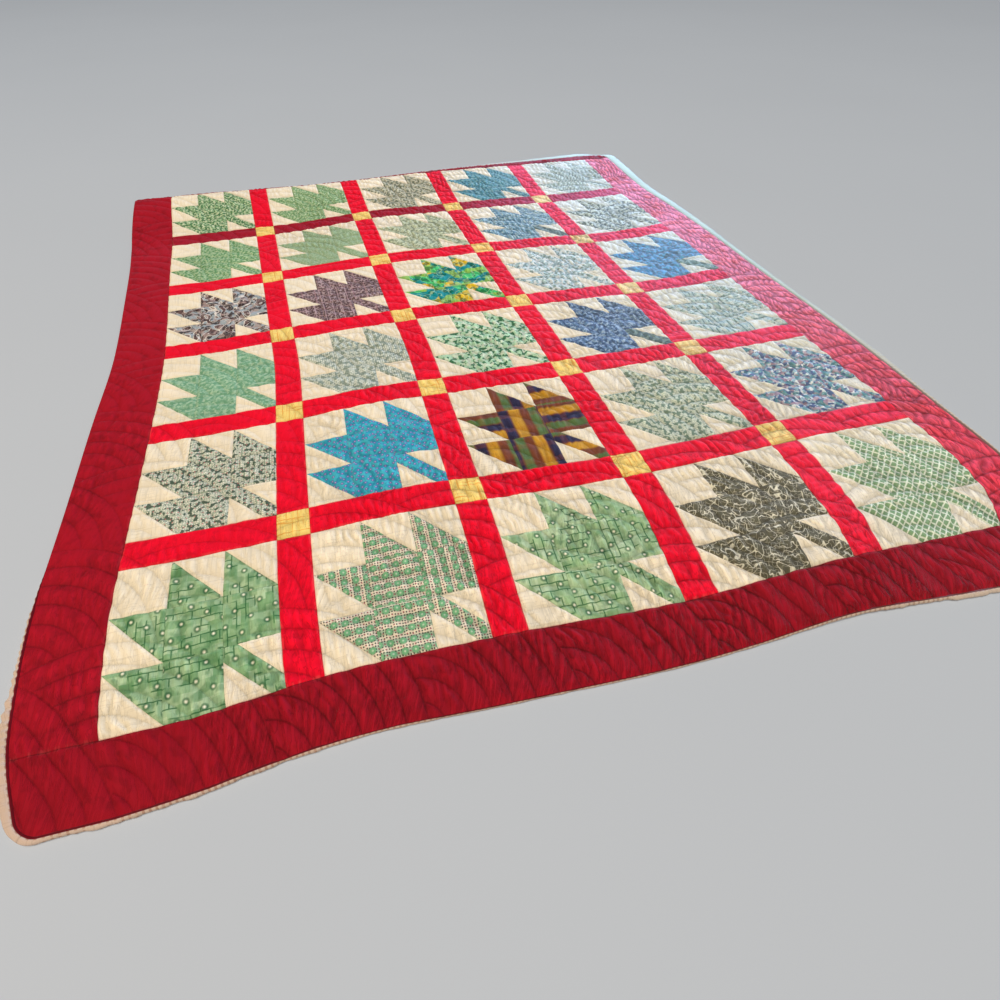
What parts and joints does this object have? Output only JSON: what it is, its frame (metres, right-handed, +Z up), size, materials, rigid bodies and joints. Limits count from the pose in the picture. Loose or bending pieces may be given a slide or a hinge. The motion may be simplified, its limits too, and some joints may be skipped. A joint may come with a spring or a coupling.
{
  "type": "quilt",
  "caption": "Patchwork quilt of maple leaf blocks with red sashes, yellow corner squares, a wide dark red border and a narrow pale edge, lying nearly flat.",
  "frame": {"origin": "on the surface that the quilt lies on, under the middle of its outline", "axes": "+X across the quilt to the right, +Y along it from the near edge to the far edge, +Z up"},
  "size_m": [1.5902, 1.8544, 0.0435],
  "materials": {
    "patchwork": "matt cotton patchwork, quilted",
    "border_cloth": "matt plain-weave cotton with a slight slub, quilted",
    "binding_cloth": "matt cotton muslin"
  },
  "bodies": {
    "root": {"pieced_panel": "patchwork", "border_left": "border_cloth", "border_right": "border_cloth", "border_near": "border_cloth", "border_far": "border_cloth", "binding_left": "binding_cloth", "binding_right": "binding_cloth", "binding_near": "binding_cloth", "binding_far": "binding_cloth"}
  },
  "joints": []
}
